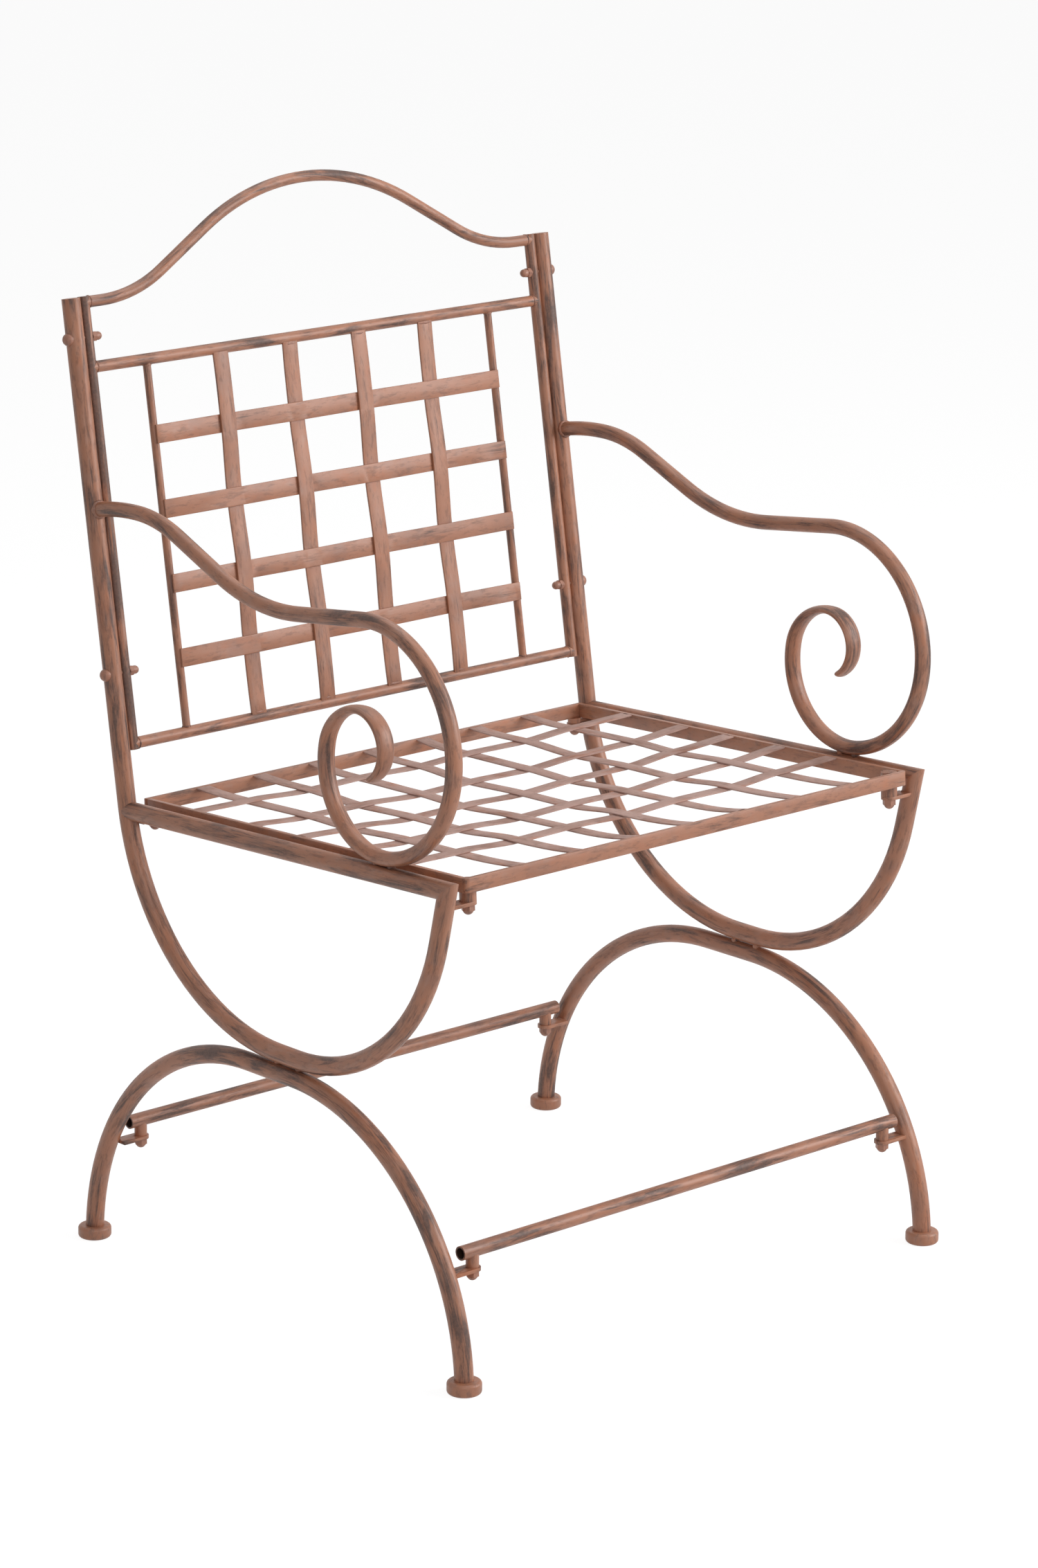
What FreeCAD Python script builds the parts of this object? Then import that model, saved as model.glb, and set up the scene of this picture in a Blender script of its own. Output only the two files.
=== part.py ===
"""Garden armchair of bent steel tube and woven flat strip, in millimetres, +Z up.

Shapes are drawn with y = 0 midway between the front and rear feet, then written with the origin
on the floor under the middle of the whole chair. The front is at -Y and the left side at -X.
"""
import os
from math import atan, cos, degrees, pi, radians, sin, sqrt, tan

import FreeCAD, Part
from FreeCAD import Vector

os.makedirs("parts", exist_ok=True)

# side frames
side_x = 266.7            # centre plane of each side frame
tube_d = 16.0             # main tube
tube_wall = 1.5
corner_y = -222.5         # mitred front corner, on the tube's centre line
corner_z = 415.8
post_angle = 77.1         # front post above the floor plane
rail_slope = 2.6          # seat rail, rising to the front
back_lean = 9.15
upright_y = 193.5         # a point of the upright's centre line
upright_z = 420.0
upright_top = 829.0
bow_z = 230.0             # lowest point of the bow's centre line
bow_rear_r = 203.4
bow_flat = 25.2           # level run at the bottom of the bow

# leg arches and feet
arch_r = 215.0
arch_flat = 58.0
arch_drop = 17.0          # from the bow's centre line down to the arch's
foot_r = 14.5
foot_h = 11.0
leg_seat_z = 4.0          # floor of the socket in the foot
foot_round = 3.0
leg_tail = 60.0           # straight tube under the arcs, cut off in the foot

# armrests
arm_d = 13.0
arm_wall = 1.3
hump_y = 172.0
hump_z = 658.5
hump_rear_r = 250.0
hump_r = 137.0
hump_angle = 23.2
trough_r = 194.0
trough_z = 607.5
arm_rise = 7.0
arm_flat_len = 79.5
scroll_r2 = 93.0
scroll_turn2 = 80.0
scroll_r3 = 68.0
scroll_turn3 = 112.0
curl_r1 = 45.0
curl_turn1 = 76.0
curl_r2 = 29.0
curl_turn2 = 150.0
scroll_width = 15.2       # the bent tube is flattened a little
scroll_thick = 12.4
curl_width = 17.5
curl_thick = 6.5
scroll_rest = 0.1         # filled by the weld at the scroll's foot

# back frame, in its own plane: x across, s up along the uprights, n forward
rod_d = 10.0
back_bottom_s = 32.0
back_top_s = 354.2
crest_end_s = 409.5
crest_rise = 82.2
crest_crown_r = 225.0
crest_heel_r = 130.0
crest_angle = 31.0
edge_bar_d = 7.0
edge_bar_x = 194.5
back_bays_x = 5
back_bays_s = 5
back_strip_w = 16.0
back_strip_t = 2.0
back_weave_n = 3.0
back_strip_lap = 1.0      # past the edge bar's centre line
back_bolt_s = (94.0, 380.0)

# seat frame, in a plane just above the side rails: x across, y to the rear, n up
seat_gap = 14.5           # from the side tubes' plane to the seat frame
seat_front_y = -228.5
seat_rear_y = 186.0
bar_h = 12.4
bar_rise = 0.5            # above the side tubes' top line
bar_t = 4.5
bar_corner_r = 4.0
seat_strip_w = 14.0
seat_strip_t = 1.2
long_count = 7
long_pitch = 62.4
long_shift = -4.0
cross_left_y = (-151.5, -86.0, -20.0, 43.0, 117.0)    # laid by eye, so a little out of square
cross_right_y = (-141.5, -78.0, -14.0, 44.0, 118.0)
seat_sag = 7.2
strip_end_drop = 0.7      # strip centre below the bars' top edge
weave_gap = 0.2

# bosses, tabs, studs and nuts
front_boss_d = 14.0       # in the corner of the bars, up to their top edge
front_boss_drop = 9.0     # below the bars' lower edge
front_boss_top = 0.3      # below the bars' top edge
front_boss_bite = 0.3
rear_boss_d = 12.0        # under the corner of the bars
rear_boss_drop = 4.6
rear_boss_in = (9.0, 2.5) # from the seat frame's outer corner, across and along
tab_t = 3.0
tab_w = 14.0
tab_gap = 5.7             # from the side tubes' plane to the tabs' ends
stud_d = 6.0
stud_up = 6.0
stud_cover = 1.0          # of a short boss, left above its stud
stud_down = 8.2
hole_clearance = 0.6
nut_af = 10.0
nut_hex_h = 5.0
nut_h = 8.7

# stretchers
stretcher_d = 12.0
stretcher_wall = 1.5
stretcher_gap = 15.7      # from the side tubes' plane to the stretchers' ends
stretcher_bolt_in = 13.0
stretcher_out = (7.6, 0.6) # bolts outside the legs' centre line, front and rear
stretcher_z = 108.5
stretcher_boss_d = 11.0
stretcher_boss_len = 8.0

# back bolts
bolt_d = 5.0
bolt_head_d = 11.0
bolt_head_h = 4.3
bolt_nut_af = 8.0
bolt_nut_hex_h = 4.0
bolt_nut_h = 9.3

# weld beads
bead_r = 3.6

tube_r = tube_d / 2
seat_half_x = side_x - seat_gap
tab_reach = side_x - tab_gap
stretcher_half = side_x - stretcher_gap
stretcher_bolt_x = stretcher_half - stretcher_bolt_in
arch_spring_z = bow_z - arch_drop - arch_r
leg_reach = arch_flat / 2 + sqrt(arch_r ** 2 - (stretcher_z - arch_spring_z) ** 2)
rod_r = rod_d / 2
arm_r = arm_d / 2
X = Vector(1, 0, 0)
Z = Vector(0, 0, 1)
ORIGIN = Vector(0, 0, 0)


class Path:
    """A chain of tangent lines and arcs, drawn in a plane given by two axes.

    Args:
        start: First point, as a pair in the plane.
        heading: First direction in degrees, from the first axis to the second.
        frame: Function that turns a pair into a point of space.
    """

    def __init__(self, start, heading, frame):
        self.at = start
        self.heading = heading
        self.frame = frame
        self.start = start
        self.first_heading = heading
        self.edges = []

    def step(self, point):
        """Moves to a point given as a pair in the plane."""
        self.at = point

    def line(self, length):
        """Adds a straight run."""
        a = radians(self.heading)
        end = (self.at[0] + length * cos(a), self.at[1] + length * sin(a))
        self.edges.append(Part.LineSegment(self.frame(self.at), self.frame(end)).toShape())
        self.step(end)
        return self

    def arc(self, radius, turn):
        """Adds an arc; a positive turn goes anticlockwise."""
        side = 90 if turn > 0 else -90
        a = radians(self.heading + side)
        centre = (self.at[0] + radius * cos(a), self.at[1] + radius * sin(a))

        def on_arc(part):
            b = radians(self.heading - side + turn * part)
            return (centre[0] + radius * cos(b), centre[1] + radius * sin(b))

        middle = on_arc(0.5)
        end = on_arc(1.0)
        points = [self.frame(p) for p in (self.at, middle, end)]
        self.edges.append(Part.Arc(*points).toShape())
        self.step(end)
        self.heading += turn
        return self

    def direction(self, heading):
        """Gives a heading as a vector of space."""
        a = radians(heading)
        return self.frame((cos(a), sin(a))) - self.frame((0, 0))

    def sweep(self, radius):
        """Sweeps a round section along the whole chain."""
        ring = Part.makeCircle(radius, self.frame(self.start), self.direction(self.first_heading))
        pipe = Part.Wire(self.edges).makePipeShell([Part.Wire([ring])], True, False)
        return pipe


def left_plane(point):
    """Gives a point of the left side frame's centre plane from its y and z."""
    return Vector(-side_x, point[0], point[1])


def flat_plane(point):
    """Gives a point of the plane z = 0."""
    return Vector(point[0], point[1], 0)


def beyond(point, normal, size=6 * tube_d):
    """Gives a cutter that fills the space in front of a plane."""
    return Part.makeCylinder(size, 2 * size, point, normal)


def mirrored(shape):
    """Gives the other side's shape."""
    return shape.mirror(ORIGIN, X)


def to_back(shape):
    """Moves a shape from the back's own plane to the chair."""
    moved = shape.copy()
    moved.rotate(ORIGIN, X, 90 - back_lean)
    moved.translate(Vector(0, upright_y, upright_z))
    return moved


seat_level = corner_z + corner_y * tan(radians(rail_slope)) + tube_r / cos(radians(rail_slope))


def to_seat(shape):
    """Moves a shape from the seat's own plane to the chair."""
    moved = shape.copy()
    moved.rotate(ORIGIN, X, -rail_slope)
    moved.translate(Vector(0, 0, seat_level + bar_rise))
    return moved


leg_y = arch_flat / 2 + arch_r
crest_top_y = upright_y + (crest_end_s + crest_rise) * sin(radians(back_lean)) + rod_r
middle_y = (crest_top_y - leg_y - foot_r) / 2


def save(name, shape):
    """Writes one node about the chair's own middle, as one solid or as a group of solids."""
    moved = shape.copy()
    moved.translate(Vector(0, -middle_y, 0))
    solids = moved.Solids
    whole = solids[0] if len(solids) == 1 else Part.makeCompound(solids)
    assert whole.isValid(), name
    whole.exportStep("parts/" + name + ".step")


def save_pair(name, shape):
    """Writes a part of the left side and its mirror image."""
    save(name + "_left", shape)
    save(name + "_right", mirrored(shape))


def rod(start, end, radius):
    """Gives a straight round bar between two points."""
    return Part.makeCylinder(radius, (end - start).Length, start, end - start)


def box(x0, x1, y0, y1, z0, z1):
    """Gives a box from its limits."""
    return Part.makeBox(x1 - x0, y1 - y0, z1 - z0, Vector(x0, y0, z0))


def cap_nut(across_flats, hex_height, height, bore):
    """Gives a domed nut that stands on z = 0 with its bore opening downward."""
    corner = across_flats / sqrt(3)
    points = [Vector(corner * cos(k * pi / 3), corner * sin(k * pi / 3), 0) for k in range(7)]
    nut = Part.Face(Part.makePolygon(points)).extrude(Z * hex_height)
    dome_r = across_flats / 2 - 0.3
    nut = nut.fuse(Part.makeCylinder(dome_r, height - dome_r))
    nut = nut.fuse(Part.makeSphere(dome_r, Vector(0, 0, height - dome_r)))
    nut = nut.cut(Part.makeBox(40, 40, 40, Vector(-20, -20, -40)))
    return nut.cut(Part.makeCylinder(bore / 2, height - 3.0)).removeSplitter()


def ribbon(path, width, thick):
    """Gives a strip along X whose height follows a smooth path.

    Args:
        path: Pairs of distance along the strip and height of its middle.
        width: Width of the strip.
        thick: Thickness of the strip.
    """
    curve = Part.BSplineCurve()
    curve.interpolate([Vector(u, -width / 2, h - thick / 2) for u, h in path])
    lower = curve.toShape()
    upper = lower.copy()
    upper.translate(Z * thick)
    ends = [lower.Vertexes[0].Point, lower.Vertexes[-1].Point]
    closers = [Part.makeLine(p, p + Z * thick) for p in ends]
    side = Part.Face(Part.Wire(Part.__sortEdges__([lower, closers[1], upper, closers[0]])))
    return side.extrude(Vector(0, width, 0))


def woven_path(start, end, crossings, height, offset, other_w, first_over, end_height):
    """Gives the path of one strip of a plain weave.

    Args:
        start: First end of the strip.
        end: Other end of the strip.
        crossings: Where the other strips cross it.
        height: Function that gives the weave's middle height along the strip.
        offset: Distance of the strip's middle from the weave's middle at a crossing.
        other_w: Width of the crossing strips.
        first_over: Whether the strip is on top at its first crossing.
        end_height: Height of the strip's middle at both ends.
    """
    path = [(start, end_height)]
    over = first_over
    for at in crossings:
        h = height(at) + (offset if over else -offset)
        path += [(at - other_w / 2, h), (at, h), (at + other_w / 2, h)]
        over = not over
    return path + [(end, end_height)]


# bow with its front post and rear upright
post = radians(post_angle)
lean = radians(back_lean)
rear_join_z = bow_z + bow_rear_r * (1 - sin(lean))
rear_join_y = upright_y + (rear_join_z - upright_z) * tan(lean)
rear_low_y = rear_join_y - bow_rear_r * cos(lean)
front_low_y = rear_low_y - bow_flat
bow_front_r = ((front_low_y - corner_y) * sin(post) - (corner_z - bow_z) * cos(post)) / (1 - cos(post))
post_len = (corner_z - bow_z - bow_front_r * (1 - cos(post))) / sin(post)
upright_len = (upright_top - rear_join_z) / cos(lean)
mitre_extra = 12.0
saddle_back = 5.0


def bow(radius, extra, top_short):
    """Sweeps the bow from above the front corner to the upright's top."""
    start = (corner_y - extra * cos(post), corner_z + extra * sin(post))
    path = Path(start, -post_angle, left_plane)
    path.line(post_len + extra)
    path.arc(bow_front_r, post_angle)
    path.line(bow_flat)
    path.arc(bow_rear_r, 90 - back_lean)
    path.line(upright_len - top_short)
    return path.sweep(radius)


def rail(radius, extra):
    """Sweeps the side rail from in front of the mitre to just short of the upright's centre line."""
    slope = radians(rail_slope)
    start = (corner_y - extra * cos(slope), corner_z + extra * sin(slope))
    length = (upright_y - saddle_back - corner_y) / cos(slope)
    return Path(start, -rail_slope, left_plane).line(length + extra).sweep(radius)


corner = left_plane((corner_y, corner_z))
post_dir = Vector(0, cos(post), -sin(post))
rail_dir = Vector(0, cos(radians(rail_slope)), -sin(radians(rail_slope)))
mitre = rail_dir - post_dir
bow_full = bow(tube_r, mitre_extra, 0).cut(beyond(corner, mitre))
bow_core = bow(tube_r - tube_wall, 2 * mitre_extra, 2.0)
rail_full = rail(tube_r, mitre_extra).cut(beyond(corner, -mitre)).cut(bow_full)
rail_core = rail(tube_r - tube_wall, 2 * mitre_extra)

# back bolts, through the uprights and the back's side bars
side_bar_x = side_x - tube_r - rod_r
nut_face_x = side_bar_x - rod_r
upright_line = to_back(rod(Vector(-side_x, 0, 0), Vector(-side_x, crest_end_s, 0), tube_r))
side_bar_line = rod(Vector(-side_bar_x, back_bottom_s - rod_r, 0),
                    Vector(-side_bar_x, crest_end_s + rod_r, 0), rod_r)
bolts = []
bolt_nuts = []
bolt_holes = []
for s in back_bolt_s:
    head_x = -side_x - tube_r
    cap_r = (bolt_head_d ** 2 / 4 + bolt_head_h ** 2) / (2 * bolt_head_h)
    head = Part.makeSphere(cap_r, Vector(head_x - bolt_head_h + cap_r, s, 0))
    head = head.common(box(head_x - 20, head_x, s - 20, s + 20, -20, 20))
    skirt = rod(Vector(head_x, s, 0), Vector(head_x + 2.2, s, 0), bolt_head_d / 2)
    head = to_back(head.fuse(skirt)).cut(upright_line)
    shank = rod(Vector(head_x, s, 0), Vector(-nut_face_x + 6.0, s, 0), bolt_d / 2)
    bolts.append(head.fuse(to_back(shank)).removeSplitter())
    nut = cap_nut(bolt_nut_af, bolt_nut_hex_h, bolt_nut_h + 1.5, bolt_d)
    nut.rotate(ORIGIN, Vector(0, 1, 0), 90)
    nut.translate(Vector(-nut_face_x - 1.5, s, 0))
    bolt_nuts.append(to_back(nut.cut(side_bar_line)))
    hole = rod(Vector(-side_x - 20, s, 0), Vector(-nut_face_x + 1, s, 0), (bolt_d + hole_clearance) / 2)
    bolt_holes.append(to_back(hole))

bolt_drill = Part.makeCompound(bolt_holes)
save_pair("upright_tube", bow_full.cut(bow_core).cut(bolt_drill))
side_rail = rail_full.cut(rail_core)
save_pair("side_rail", max(side_rail.Solids, key=lambda solid: solid.Volume))
save("back_bolts", Part.makeCompound(bolts + [mirrored(b) for b in bolts]))
save("back_cap_nuts", Part.makeCompound(bolt_nuts + [mirrored(n) for n in bolt_nuts]))

# leg arches and feet
def arch(radius):
    """Sweeps the leg arch from foot to foot."""
    path = Path((-leg_y, arch_spring_z - leg_tail), 90, left_plane)
    path.line(leg_tail).arc(arch_r, -90).line(arch_flat).arc(arch_r, -90).line(leg_tail)
    return path.sweep(radius)


below_seat = box(-side_x - tube_d, -side_x + tube_d, -leg_y - tube_d, leg_y + tube_d,
                 arch_spring_z - leg_tail - tube_d, leg_seat_z)
arch_full = arch(tube_r).cut(below_seat)
arch_core = arch(tube_r - tube_wall)
save_pair("leg_arch", arch_full.cut(arch_core))
for label, y in (("front", -leg_y), ("rear", leg_y)):
    foot = Part.makeCylinder(foot_r, foot_h, Vector(-side_x, y, 0))
    foot = foot.makeFillet(foot_round, [e for e in foot.Edges if e.Curve.TypeId == "Part::GeomCircle"])
    save_pair("foot_" + label, foot.cut(arch_full))

# armrest: hump, trough and scroll, standing on the side rail
hump_rear_turn = degrees(atan((upright_y - hump_y + 40) / hump_rear_r)) + 2.0
arm_start = (hump_y + hump_rear_r * sin(radians(hump_rear_turn)),
             hump_z - hump_rear_r * (1 - cos(radians(hump_rear_turn))))
arm_drop = hump_z - trough_z - (hump_r + trough_r) * (1 - cos(radians(hump_angle)))
arm_slope_len = arm_drop / sin(radians(hump_angle))


def arm_path():
    """Draws the armrest from inside the upright to the start of the curl."""
    path = Path(arm_start, 180 - hump_rear_turn, left_plane)
    path.arc(hump_rear_r, hump_rear_turn)
    path.arc(hump_r, hump_angle)
    path.line(arm_slope_len)
    path.arc(trough_r, -hump_angle - arm_rise)
    path.line(arm_flat_len)
    return path


def first_radius(start):
    """Gives the radius of the scroll's first arc, with which its lower turn rests on the rail."""
    slope = radians(rail_slope)
    turn = radians(scroll_turn2)
    rise = radians(arm_rise)
    step = scroll_r2 - scroll_r3
    low = seat_level - (scroll_r2 - step * cos(turn)) * tan(slope)
    low += (scroll_r3 + scroll_thick / 2 + scroll_rest) / cos(slope) + step * sin(turn)
    return (start[1] - low + start[0] * tan(slope)) / (cos(rise) + (1 + sin(rise)) * tan(slope))


arm = arm_path()
scroll = Path(arm.at, arm.heading, left_plane)
stations = [(scroll.at, scroll.heading, arm_d, arm_d)]
scroll_r1 = first_radius(arm.at)
for radius, turn, width, thick in (
        (scroll_r1, 90 + arm_rise, scroll_width, scroll_thick),
        (scroll_r2, scroll_turn2, scroll_width, scroll_thick),
        (scroll_r3, scroll_turn3, scroll_width, scroll_thick),
        (curl_r1, curl_turn1, curl_width, curl_thick),
        (curl_r2, curl_turn2, curl_width, curl_thick)):
    scroll.arc(radius, turn)
    stations.append((scroll.at, scroll.heading, width, thick))
scroll_foot_y = stations[2][0][0] + scroll_r3 * sin(radians(90 - scroll_turn2 - rail_slope))


def scroll_section(point, heading, half_width, half_thick):
    """Gives the round or oval section of the scroll at a point of its path."""
    axis = scroll.direction(heading)
    if half_width == half_thick:
        circle = Part.Circle(point, axis, half_width)
        ring = circle.toShape()
        ring.rotate(point, axis, degrees(X.getAngle(circle.value(0) - point)))
        if (ring.Vertexes[0].Point - point - X * half_width).Length > 1e-6:
            ring.rotate(point, axis, -2 * degrees(X.getAngle(circle.value(0) - point)))
    else:
        across = axis.cross(X)
        ring = Part.Ellipse(point + X * half_width, point + across * half_thick, point).toShape()
    return Part.Wire([ring])


bends = []
for edge, ends in zip(scroll.edges, zip(stations, stations[1:])):
    pipe = Part.BRepOffsetAPI.MakePipeShell(Part.Wire([edge]))
    pipe.setBiNormalMode(X)
    for point, heading, width, thick in ends:
        pipe.add(scroll_section(left_plane(point), heading, width / 2, thick / 2))
    pipe.build()
    pipe.makeSolid()
    bends.append(pipe.shape())
scroll_solid = bends[0].fuse(bends[1:])
arm_bore = arm_path().arc(scroll_r1, 90 + arm_rise).sweep(arm_r - arm_wall)
armrest = arm.sweep(arm_r).cut(bow_full).fuse(scroll_solid).cut(arm_bore)
keep = [s for s in armrest.Solids if s.CenterOfMass.y < hump_y]
save_pair("armrest", keep[0])

# tabs, bosses, studs and nuts of the seat
front_boss_r = front_boss_d / 2
front_boss_in = bar_t + front_boss_r - front_boss_bite
stops = (("front", front_boss_r, seat_half_x - front_boss_in, seat_front_y + front_boss_in,
          -bar_h - front_boss_drop, bar_h + front_boss_drop - front_boss_top),
         ("rear", rear_boss_d / 2, seat_half_x - rear_boss_in[0], seat_rear_y - rear_boss_in[1],
          -bar_h - rear_boss_drop, rear_boss_drop))
bosses = []
studs = []
nuts = []
long_bars = [box(-seat_half_x, -seat_half_x + bar_t, seat_front_y + bar_t, seat_rear_y - bar_t, -bar_h, 0)]
front_bar = box(-seat_half_x, seat_half_x, seat_front_y, seat_front_y + bar_t, -bar_h, 0)
corner_edges = [e for e in front_bar.Edges
                if abs(e.tangentAt(e.FirstParameter).z) > 0.9 and e.CenterOfMass.y < seat_front_y + 1]
front_bar = front_bar.makeFillet(bar_corner_r, corner_edges)
rear_bar = box(-seat_half_x, seat_half_x, seat_rear_y - bar_t, seat_rear_y, -bar_h, 0)
save("seat_front_rail", to_seat(front_bar))
save("seat_rear_rail", to_seat(rear_bar))
save_pair("seat_side_rail", to_seat(long_bars[0]))


def tab(x, y, top, hole_d):
    """Gives a plate with a round end and a hole, reaching out to the side tube."""
    plate = box(-tab_reach, x, y - tab_w / 2, y + tab_w / 2, top - tab_t, top)
    plate = plate.fuse(Part.makeCylinder(tab_w / 2, tab_t, Vector(x, y, top - tab_t)))
    hole = Part.makeCylinder(hole_d / 2, tab_t, Vector(x, y, top - tab_t))
    return plate.cut(hole).removeSplitter()


def fasten(x, y, base, up, place):
    """Adds the stud and the nut under a boss that ends at a given height."""
    stud = Part.makeCylinder(stud_d / 2, up + stud_down, Vector(x, y, base - stud_down))
    nut = cap_nut(nut_af, nut_hex_h, nut_h, stud_d)
    nut.rotate(ORIGIN, X, 180)
    nut.translate(Vector(x, y, base - tab_t))
    for shape, group in ((stud, studs), (nut, nuts)):
        placed = place(shape)
        group.extend([placed, mirrored(placed)])


for label, radius, x, y, base, length in stops:
    up = min(stud_up, length - stud_cover)
    boss = Part.makeCylinder(radius, length, Vector(-x, y, base))
    boss = boss.cut(long_bars[0]).cut(front_bar).cut(rear_bar)
    boss = boss.cut(Part.makeCylinder(stud_d / 2, up, Vector(-x, y, base)))
    boss = to_seat(boss)
    bosses += [boss, mirrored(boss)]
    plate = to_seat(tab(-x, y, base, stud_d + hole_clearance)).cut(bow_full)
    save_pair("seat_tab_" + label, plate)
    fasten(-x, y, base, up, to_seat)
save("seat_bosses", Part.makeCompound(bosses))

# stretchers between the legs
stretcher_bosses = []
for label, y in (("front", -leg_reach - stretcher_out[0]), ("rear", leg_reach + stretcher_out[1])):
    ends = (Vector(-stretcher_half, y, stretcher_z), Vector(stretcher_half, y, stretcher_z))
    bar = rod(*ends, stretcher_d / 2)
    save(label + "_stretcher", bar.cut(rod(*ends, stretcher_d / 2 - stretcher_wall)))
    base = stretcher_z - stretcher_d / 2 - stretcher_boss_len
    boss = Part.makeCylinder(stretcher_boss_d / 2, stretcher_boss_len + stretcher_d / 2,
                             Vector(-stretcher_bolt_x, y, base))
    boss = boss.cut(bar)
    boss = boss.cut(Part.makeCylinder(stud_d / 2, stud_up, Vector(-stretcher_bolt_x, y, base)))
    stretcher_bosses += [boss, mirrored(boss)]
    plate = tab(-stretcher_bolt_x, y, base, stud_d + hole_clearance).cut(arch_full)
    save_pair("stretcher_tab_" + label, plate)
    fasten(-stretcher_bolt_x, y, base, stud_up, lambda shape: shape)
save("stretcher_bosses", Part.makeCompound(stretcher_bosses))
save("frame_studs", Part.makeCompound(studs))
save("cap_nuts", Part.makeCompound(nuts))

# back frame
drill = bolt_drill.copy()
side_bar = to_back(side_bar_line).cut(drill)
save_pair("back_side_bar", side_bar)
side_bars = [side_bar_line, mirrored(side_bar_line)]
top_line = rod(Vector(-side_bar_x, back_top_s, 0), Vector(side_bar_x, back_top_s, 0), rod_r)
bottom_line = rod(Vector(-side_bar_x, back_bottom_s, 0), Vector(side_bar_x, back_bottom_s, 0), rod_r)
save("back_top_rail", to_back(top_line.cut(side_bars)))
save("back_bottom_rail", to_back(bottom_line.cut(side_bars)))
bend = radians(crest_angle)
slope_len = (crest_rise - (crest_heel_r + crest_crown_r) * (1 - cos(bend))) / sin(bend)
level_len = side_bar_x - (crest_heel_r + crest_crown_r) * sin(bend) - slope_len * cos(bend)
crest = Path((-side_bar_x, crest_end_s), 0, flat_plane)
crest.line(level_len).arc(crest_heel_r, crest_angle).line(slope_len)
crest.arc(crest_crown_r, -2 * crest_angle)
crest.line(slope_len).arc(crest_heel_r, crest_angle).line(level_len)
save("crest_rail", to_back(crest.sweep(rod_r).cut(side_bars)))
edge_bar = rod(Vector(-edge_bar_x, back_bottom_s, 0), Vector(-edge_bar_x, back_top_s, 0), edge_bar_d / 2)
edge_bar = edge_bar.cut([top_line, bottom_line])
save_pair("back_edge_bar", to_back(edge_bar))

# woven strips of the back
pitch_x = 2 * edge_bar_x / back_bays_x
pitch_s = (back_top_s - back_bottom_s) / back_bays_s
upright_xs = [-edge_bar_x + pitch_x * k for k in range(1, round(back_bays_x))]
level_ss = [back_top_s - pitch_s * k for k in range(1, round(back_bays_s))]
offset = (back_strip_t + weave_gap) / 2
for i, x in enumerate(upright_xs):
    run = [back_top_s - s for s in level_ss]
    path = woven_path(0, back_top_s - back_bottom_s, run, lambda u: back_weave_n, offset,
                      back_strip_w, i % 2 == 0, back_weave_n)
    strip = ribbon(path, back_strip_w, back_strip_t)
    strip.rotate(ORIGIN, Z, -90)
    strip.translate(Vector(x, back_top_s, 0))
    strip = strip.cut([top_line, bottom_line])
    save("back_upright_strip_%d" % (i + 1), to_back(strip))
lap_n = edge_bar_d / 2 + back_strip_t / 2
lap_x = edge_bar_x + back_strip_lap
for j, s in enumerate(level_ss):
    path = woven_path(-lap_x + edge_bar_d, lap_x - edge_bar_d, upright_xs, lambda u: back_weave_n, offset,
                      back_strip_w, j % 2 == 1, lap_n)
    path = [(-lap_x, lap_n)] + path + [(lap_x, lap_n)]
    strip = ribbon(path, back_strip_w, back_strip_t)
    strip.translate(Vector(0, s, 0))
    save("back_level_strip_%d" % (j + 1), to_back(strip))

# woven strips of the seat, sagging to the middle
long_x = [long_shift + long_pitch * (k - (long_count - 1) / 2) for k in range(round(long_count))]
inner_x = seat_half_x - bar_t
inner_front = seat_front_y + bar_t
inner_rear = seat_rear_y - bar_t
mid_y = (inner_front + inner_rear) / 2
half_y = (inner_rear - inner_front) / 2


def sag(x, y):
    """Gives the weave's middle height below the bars' top edge."""
    return -strip_end_drop - seat_sag * (1 - (x / inner_x) ** 2) * (1 - ((y - mid_y) / half_y) ** 2)


def across(j, x):
    """Gives the y of a cross strip's middle line at a given x."""
    return cross_left_y[j] + (cross_right_y[j] - cross_left_y[j]) * (x + inner_x) / (2 * inner_x)


offset = (seat_strip_t + weave_gap) / 2
cross_count = len(cross_left_y)
for i, x in enumerate(long_x):
    run = [across(j, x) for j in range(cross_count)]
    path = woven_path(inner_front, inner_rear, run, lambda y: sag(x, y), offset,
                      seat_strip_w, i % 2 == 1, -strip_end_drop)
    strip = ribbon(path, seat_strip_w, seat_strip_t)
    strip.rotate(ORIGIN, Z, 90)
    strip.translate(Vector(x, 0, 0))
    save("seat_long_strip_%d" % (i + 1), to_seat(strip))
opening = box(-inner_x, inner_x, inner_front, inner_rear, -bar_h - seat_sag, bar_h)
for j in range(cross_count):
    path = woven_path(-inner_x, inner_x, long_x, lambda x: sag(x, across(j, x)), offset,
                      seat_strip_w, j % 2 == 0, -strip_end_drop)
    path = [(-inner_x - bar_t, -strip_end_drop)] + path + [(inner_x + bar_t, -strip_end_drop)]
    strip = ribbon(path, seat_strip_w, seat_strip_t)
    strip.rotate(ORIGIN, Z, degrees(atan((across(j, inner_x) - across(j, 0)) / inner_x)))
    strip.translate(Vector(0, across(j, 0), 0))
    save("seat_cross_strip_%d" % (j + 1), to_seat(strip.common(opening)))

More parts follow.
